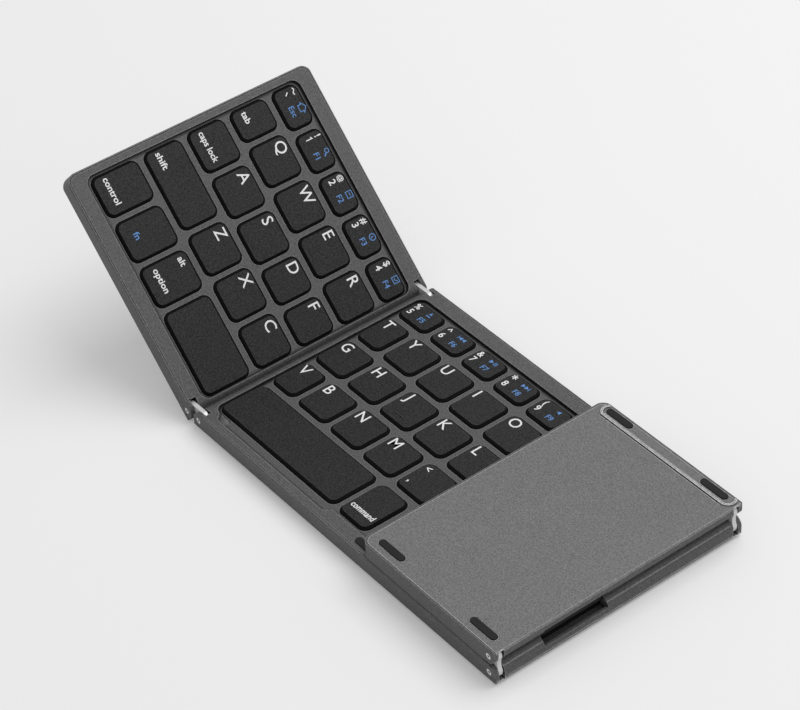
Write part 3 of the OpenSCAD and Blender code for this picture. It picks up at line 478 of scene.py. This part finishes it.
def filled(total, *runs):
    """Widths of a row: each run is (count, width), and the keys of width None share what is left."""
    used = sum(n * w for n, w in runs if w)
    spare = sum(n for n, w in runs if not w)
    return [w if w else (total - used) / spare for n, w in runs for _ in range(n)]


LEFT_ROWS = {
    1: filled(LEFT_FIELD, (1, None), (4, NUMBER_W)),
    2: filled(LEFT_FIELD, (1, None), (4, LETTER_W)),
    3: filled(LEFT_FIELD, (1, None), (2, LETTER_W), (2, HOME_EDGE_W)),
    4: filled(LEFT_FIELD, (1, None), (3, LETTER_W)),
    5: filled(LEFT_FIELD, (3, MOD_W), (1, None)),
}
MID_ROWS = {
    1: filled(MID_FIELD, (1, FIRST_NUMBER_W), (7, NUMBER_W), (1, None)),
    2: filled(MID_FIELD, (1, EDGE_W), (7, LETTER_W), (1, None)),
    3: filled(MID_FIELD, (7, LETTER_W), (1, None)),
    4: filled(MID_FIELD, (1, EDGE_W), (6, LETTER_W), (2, None)),
    5: filled(MID_FIELD, (1, SPACE_W), (2, MID_MOD_W), (3, None)),
}


def place_left(points):
    """Left leaf's own mm to metres at rest: turned about the leaf's pin by its raise, and set at that pin."""
    x, y, z = points[:, 0] + PIN_IN, points[:, 1], points[:, 2] - PIN_Z
    c, s = math.cos(LEFT_RAISE), math.sin(LEFT_RAISE)
    return np.column_stack([x * c + z * s - (MID_END - PIN_IN) - PIN_GAP, y, -x * s + z * c + PIN_Z]) * MM


def place_mid(points):
    """Middle leaf's mm to metres."""
    return points * MM


# How far the print of a number row is moved towards the back
LEFT_NUMBER_SHIFT = 0.3
MID_NUMBER_SHIFT = -0.3

# Key fields: how the leaf's points are placed, the widths in its rows, where the rows start, and that shift
LEFT_KEYS = (place_left, LEFT_ROWS, -LEFT_LEN + LEFT_OUTER_RAIL, LEFT_NUMBER_SHIFT)
MID_KEYS = (place_mid, MID_ROWS, -MID_END + MID_RAIL, MID_NUMBER_SHIFT)


# ---- shapes of the print: closed solids one unit thick, about z = 0 ----

CURVE_STEPS = 3
HALF_THICK = 0.5


def solid_of(data):
    """A filled curve or text as its vertices, the vertex at each face's corners, and the corners per face."""
    obj = bpy.data.objects.new("ink", data)
    bpy.context.scene.collection.objects.link(obj)
    mesh = bpy.data.meshes.new_from_object(obj)
    verts = np.empty(len(mesh.vertices) * 3)
    corners = np.empty(len(mesh.loops), np.int32)
    sizes = np.empty(len(mesh.polygons), np.int32)
    mesh.vertices.foreach_get("co", verts)
    mesh.loops.foreach_get("vertex_index", corners)
    mesh.polygons.foreach_get("loop_total", sizes)
    bpy.data.objects.remove(obj)
    bpy.data.meshes.remove(mesh)
    bpy.data.curves.remove(data)
    return verts.reshape(-1, 3), corners, sizes


def text_solid(words, bold=0.0):
    """Text that stands on y = 0, in em. bold moves its outline outwards."""
    data = bpy.data.curves.new("ink", "FONT")
    data.body = words
    data.size = 1.0
    data.offset = bold
    data.resolution_u = CURVE_STEPS
    data.extrude = HALF_THICK
    return solid_of(data)


CAP_HEIGHT = np.ptp(text_solid("H")[0][:, 1])


def outline_solid(loops):
    """Closed outlines, filled. A loop inside another is a hole."""
    data = bpy.data.curves.new("ink", "CURVE")
    data.dimensions = "2D"
    data.fill_mode = "BOTH"
    data.extrude = HALF_THICK
    for loop in loops:
        spline = data.splines.new("POLY")
        spline.points.add(len(loop) - 1)
        flat = np.column_stack([np.asarray(loop, float), np.zeros(len(loop)), np.ones(len(loop))])
        spline.points.foreach_set("co", flat.ravel())
        spline.use_cyclic_u = True
    return solid_of(data)


def box(left, low, right, high):
    """Corners of an upright rectangle."""
    return [(left, low), (right, low), (right, high), (left, high)]


def arc(cx, cy, r, start=0.0, end=360.0, n=20):
    """Points on a circle: (cx + r cos a, cy + r sin a), for n angles a from start to end."""
    a = np.radians(np.linspace(start, end, n, endpoint=end - start < 360))
    return np.column_stack([cx + r * np.cos(a), cy + r * np.sin(a)])


def wave(half, height, pace, n=13):
    """Points on a sine: y = -height sin(pace x), for n values of x from -half to half."""
    x = np.linspace(-half, half, n)
    return np.column_stack([x, height * np.sin(-pace * x)])


def stroke(points, width, closed=False):
    """Outline of a line of even width: each point moved along its mitred normal, half the width each way."""
    p = np.asarray(points, float)
    ahead = np.roll(p, -1, 0) - p
    if not closed:
        ahead[-1] = ahead[-2]
    ahead /= np.linalg.norm(ahead, axis=1)[:, None]
    behind = np.roll(ahead, 1, 0)
    if not closed:
        behind[0] = ahead[0]
    normal = np.column_stack([-(ahead + behind)[:, 1], (ahead + behind)[:, 0]])
    normal /= (1 + (ahead * behind).sum(1))[:, None]
    one, other = p + normal * width / 2, p - normal * width / 2
    return [one, other] if closed else [np.vstack([one, other[::-1]])]


# Icons: the loops of each, in mm about the middle of the icon
LINE = 0.3
BOX_LINE = stroke(box(-1.2, -1.2, 1.2, 1.2), LINE, closed=True)
HORN = [(0.9, 0.85), (0.9, -0.85), (-0.7, 0)]
HOUSE = [(-1.2, -1.4), (1.2, -1.4), (1.2, -0.1), (1.9, -0.1), (0, 1.5), (-1.9, -0.1), (-1.2, -0.1)]
ICONS = {
    "home": stroke(HOUSE, LINE, closed=True),
    "search": [*stroke(arc(-0.3, 0.35, 0.8), LINE, closed=True), *stroke([(0.3, -0.25), (1.4, -1.35)], 0.42)],
    "window": [*BOX_LINE, *stroke([(-0.6, 0.1), (0.6, 0.1)], LINE)],
    "copy": [*stroke(arc(0, 0, 1.25, n=9), LINE, closed=True),
             *stroke([(-0.1, 0.5), (-0.1, -0.45), (0.5, -0.45)], LINE)],
    "tick": [*BOX_LINE, *stroke([(-0.6, 0.0), (-0.1, -0.5), (0.75, 0.55)], LINE)],
    "eject": [[(-0.75, 0.0), (0.75, 0.0), (0, 1.3)], box(-1.1, -1.2, 1.1, -0.8)],
    "previous": [[(-1.55, 0), (0.1, -0.85), (0.1, 0.85)], [(0.15, 0), (1.8, -0.85), (1.8, 0.85)],
                 box(-1.9, -0.85, -1.65, 0.85)],
    "play": [[(-1.7, -0.9), (-1.7, 0.9), (0.1, 0)], box(0.5, -0.9, 0.85, 0.9), box(1.3, -0.9, 1.65, 0.9)],
    "next": [[(1.55, 0), (-0.1, 0.85), (-0.1, -0.85)], [(-0.15, 0), (-1.8, 0.85), (-1.8, -0.85)],
             [(1.9, -0.85), (1.9, 0.85), (1.65, 0.85), (1.65, -0.85)]],
    "quieter": [HORN],
    "louder": [HORN, stroke([(1.3, -0.6), (1.5, 0), (1.3, 0.6)], 0.2)[0]],
    "lock": [box(-0.9, -1.0, 0.9, 0.1), *stroke(arc(0, 0.1, 0.6, 0, 180, 9), 0.25)],
    "left": [[(-1.3, 0), (0.9, -1.2), (0.9, 1.2)]],
    "right": [[(1.3, 0), (-0.9, 1.2), (-0.9, -1.2)]],
    "up": [[(0, 1.3), (-1.2, -0.9), (1.2, -0.9)]],
    "down": [[(0, -1.3), (1.2, 0.9), (-1.2, 0.9)]],
    "tilde": stroke(wave(1.2, 0.35, 2.6), 0.36),
    "caret": stroke([(-0.8, -0.5), (0, 0.7), (0.8, -0.5)], 0.34),
    "one": stroke([(-0.55, 0.7), (0.1, 1.15), (0.1, -1.25)], 0.36),
    "accent": stroke([(-0.5, 0.6), (0.45, -0.5)], 0.38),
}


# ---- printing ----

INK_T = 0.012


class Ink:
    """Collects the print of each colour on each body, then makes one piece of it."""

    def __init__(self):
        self.jobs = {}

    def put(self, body, colour, verts, corners, sizes):
        """Keeps one shape, whose vertices are already placed in metres."""
        self.jobs.setdefault((body, colour), []).append((verts, corners, sizes))

    def make(self, mats):
        """One piece for each colour on each body, which takes its colour's material and rides on the body."""
        for (body, colour), jobs in self.jobs.items():
            verts, corners, sizes = zip(*jobs)
            starts = np.cumsum([0] + [len(v) for v in verts])
            corners = np.concatenate([c + start for c, start in zip(corners, starts)])
            faces = np.split(corners, np.cumsum(np.concatenate(sizes))[:-1])
            mesh = bpy.data.meshes.new("print")
            mesh.from_pydata(np.vstack(verts).tolist(), [], [face.tolist() for face in faces])
            mesh.materials.append(mats[colour])
            obj = bpy.data.objects.new("print_%s_%s" % (colour, body), mesh)
            bpy.context.scene.collection.objects.link(obj)
            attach(obj, body)


class Key:
    """One key's opening in its leaf, in the leaf's own mm, and the print on the key's cap."""

    def __init__(self, ink, field, row, index, node):
        self.place, rows, start, self.number_shift = field
        edges = start + np.concatenate([[0], np.cumsum(rows[row])])
        self.left = edges[index] + RIB / 2
        self.middle = (edges[index] + edges[index + 1]) / 2
        self.back, self.front = ROW_BACK[row], ROW_FRONT[row]
        self.ink, self.body = ink, node + "_body"

    def print_solid(self, solid, colour, scale, x, y):
        """Prints a solid, scaled and moved by (x, y), as a thin layer on the cap's top."""
        verts, corners, sizes = solid
        flat = verts * (*scale, INK_T) + (x, y, CAP_TOP)
        self.ink.put(self.body, colour, self.place(flat), corners, sizes)

    def say(self, words, x, y, tall, bold, colour="white", length=None, centre=False):
        """Prints words on the line y, from x or centred on it.

        tall is the height of a capital, and length is that of the words, where it isn't the font's own.
        """
        verts, corners, sizes = text_solid(words, bold)
        verts[:, 0] -= verts[:, 0].min()
        scale = tall / CAP_HEIGHT
        width = np.ptp(verts[:, 0]) * scale
        stretch = length / width if length else 1.0
        start = x - width * stretch / 2 if centre else x
        self.print_solid((verts, corners, sizes), colour, (scale * stretch, scale), start, y)

    def draw(self, icon, x, y, size=1.0, colour="white"):
        """Prints an icon that is centred on (x, y)."""
        self.print_solid(outline_solid(ICONS[icon]), colour, (size, size), x, y)


# Weights of the print, in em
FINE, LIGHT, MEDIUM, HEAVY = 0.004, 0.01, 0.015, 0.02

# Print, in mm: the height of its capitals, how far in it starts from the key's left edge, and how far its
# line drops from the back edge or rises from the front one
LETTER_TALL, LETTER_IN, LETTER_DROP = 4.05, 2.15, 1.6
PAIR_TALL = 2.6
UPPER_IN, UPPER_DROP = 2.3, 4.6
LOWER_IN, LOWER_DROP = 2.6, 11.6
SIGN_TALL, SIGN_IN, SIGN_DROP = 2.4, 2.85, 2.65
SIGNS_OF_OWN_HEIGHT = {"@": 1.75, "*": 3.2}
DIGIT_TALL, DIGIT_DROP = 2.5, 7.35
DRAWN_SIGNS = {"~": ("tilde", 2.7), "^": ("caret", 2.5)}
DRAWN_DIGITS = {"`": ("accent", 5.6), "1": ("one", 6.1)}
BLUE_TALL, BLUE_IN, BLUE_DROP = 2.05, 9.0, 7.45
ICON_SIZE, ICON_DROP = 0.95, 2.6
WORD_TALL, WORD_IN, WORD_RISE = 2.15, 1.8, 4.4
TWO_WORDS_IN, FIRST_DROP, SECOND_RISE = 2.3, 4.3, 4.7
BLUE_WORD_SHIFT = -0.9
ARROW_SIZE = 0.9


def print_letter(key, letter):
    """One large letter near the back left corner."""
    key.say(letter, key.left + LETTER_IN, key.back - LETTER_DROP - LETTER_TALL, LETTER_TALL, FINE)


def print_pair(key, upper, lower):
    """A light sign over a heavy one."""
    key.say(upper, key.left + UPPER_IN, key.back - UPPER_DROP, PAIR_TALL, LIGHT)
    key.say(lower, key.left + LOWER_IN, key.back - LOWER_DROP, PAIR_TALL, HEAVY)


def print_number(key, sign, digit, name, icon):
    """A sign over a digit in white, and beside them an icon, if there is one, over a blue name."""
    x, back = key.left + SIGN_IN, key.back + key.number_shift
    if sign in DRAWN_SIGNS:
        drawn, drop = DRAWN_SIGNS[sign]
        key.draw(drawn, x, back - drop)
    else:
        tall = SIGNS_OF_OWN_HEIGHT.get(sign, SIGN_TALL)
        key.say(sign, x, back - SIGN_DROP - tall / 2, tall, MEDIUM, centre=True)
    if digit in DRAWN_DIGITS:
        drawn, drop = DRAWN_DIGITS[digit]
        key.draw(drawn, x, back - drop)
    else:
        key.say(digit, x, back - DIGIT_DROP, DIGIT_TALL, MEDIUM, centre=True)
    key.say(name, key.left + BLUE_IN, back - BLUE_DROP, BLUE_TALL, LIGHT, "blue", centre=True)
    if icon:
        key.draw(icon, key.left + BLUE_IN, back - ICON_DROP, ICON_SIZE, "blue")


def print_word(key, word, length):
    """A word of that length near the front left corner."""
    key.say(word, key.left + WORD_IN, key.front + WORD_RISE, WORD_TALL, HEAVY, length=length)


def print_two_words(key, first, first_length, second, second_length):
    """One word near the back edge and one near the front edge."""
    x = key.left + TWO_WORDS_IN
    key.say(first, x, key.back - FIRST_DROP, WORD_TALL, HEAVY, length=first_length)
    key.say(second, x, key.front + SECOND_RISE, WORD_TALL, HEAVY, length=second_length)


def print_blue_word(key, word, length):
    """A blue word of that length, near the middle of the front edge."""
    key.say(word, key.middle + BLUE_WORD_SHIFT, key.front + SECOND_RISE, WORD_TALL, MEDIUM, "blue",
            length=length, centre=True)


def print_arrow(key, icon):
    """An arrow in the middle of the cap."""
    key.draw(icon, key.middle, (key.back + key.front) / 2, ARROW_SIZE)


def run(row, first, node, printer, legends):
    """Legends of keys side by side, from index first on: each is (row, index, node, printer, words...)."""
    return [(row, first + i, node, printer, *words) for i, words in enumerate(legends)]


# Legends: row, place in the row from the left, node of the key's cap, and what is printed with its lengths
LEFT_LEGENDS = [
    (1, 0, "grave_key", print_number, "~", "`", "Esc", "home"),
    *run(1, 1, "left_number_keys", print_number, [
        ("!", "1", "F1", "search"), ("@", "2", "F2", "window"), ("#", "3", "F3", "copy"),
        ("$", "4", "F4", "tick")]),
    (2, 0, "tab_key", print_word, "tab", 4.3),
    *run(2, 1, "left_upper_letter_keys", print_letter, "QWER"),
    (3, 0, "caps_key", print_word, "caps lock", 11.1),
    *run(3, 1, "left_home_letter_keys", print_letter, "AS"),
    *run(3, 3, "left_home_edge_keys", print_letter, "DF"),
    (4, 0, "left_shift_key", print_word, "shift", 6.1),
    *run(4, 1, "left_lower_letter_keys", print_letter, "ZXC"),
    (5, 0, "left_modifier_keys", print_word, "control", 9.6),
    (5, 1, "left_modifier_keys", print_blue_word, "fn", 2.5),
    (5, 2, "left_modifier_keys", print_two_words, "alt", 3.2, "option", 8.6),
]
MID_LEGENDS = [
    *run(1, 0, "mid_number_keys", print_number, [
        ("%", "5", "F5", "eject"), ("^", "6", "F6", "previous"), ("&", "7", "F7", "play"),
        ("*", "8", "F8", "next"), ("(", "9", "F9", "quieter"), (")", "0", "F10", "louder"),
        ("_", "-", "F11", "lock"), ("+", "=", "F12", None)]),
    (1, 8, "backspace_key", print_word, "delete", 7.4),
    (2, 0, "t_key", print_letter, "T"),
    *run(2, 1, "mid_upper_letter_keys", print_letter, "YUIOP"),
    *run(2, 6, "mid_upper_letter_keys", print_pair, ["{[", "}]"]),
    (2, 8, "backslash_key", print_pair, "|", "\\"),
    *run(3, 0, "mid_home_letter_keys", print_letter, "GHJKL"),
    *run(3, 5, "mid_home_letter_keys", print_pair, [":;", "\"'"]),
    (3, 7, "enter_key", print_word, "return", 7.4),
    (4, 0, "v_key", print_letter, "V"),
    *run(4, 1, "mid_lower_letter_keys", print_letter, "BNM"),
    *run(4, 4, "mid_lower_letter_keys", print_pair, ["<,", ">.", "?/"]),
    (4, 7, "up_and_shift_keys", print_arrow, "up"),
    (4, 8, "up_and_shift_keys", print_word, "shift", 6.1),
    (5, 1, "mid_modifier_keys", print_word, "command", 10.6),
    (5, 2, "mid_modifier_keys", print_two_words, "alt", 3.2, "option", 8.6),
    *run(5, 3, "arrow_keys", print_arrow, [("left",), ("down",), ("right",)]),
]


def print_keys():
    """Prints the legends of both key fields."""
    paint = dict(size=0.3, contrast=0.1, cloud=0.05, bump=0.005, edge=0.02, spec=0.2, rough=0.6)
    mats = {"white": moulded("print_white", PRINT_WHITE, **paint),
            "blue": moulded("print_blue", PRINT_BLUE, **paint)}
    ink = Ink()
    for field, legends in ((LEFT_KEYS, LEFT_LEGENDS), (MID_KEYS, MID_LEGENDS)):
        for row, index, node, printer, *words in legends:
            printer(Key(ink, field, row, index, node), *words)
    ink.make(mats)


aim_camera()
build_lights()
build_floor()
build_grain_group()
# Groups that paint light and shade into the colour: edge highlights with crease shade, side shade and ridge
# highlights
build_painted_light_group("painted_edge_light_and_shade", own_creases=False)
build_painted_light_group("painted_edge_light_and_own_shade", own_creases=True)
build_side_shade_group()
build_ridge_light_group()
dress_nodes(build_finishes())
print_keys()
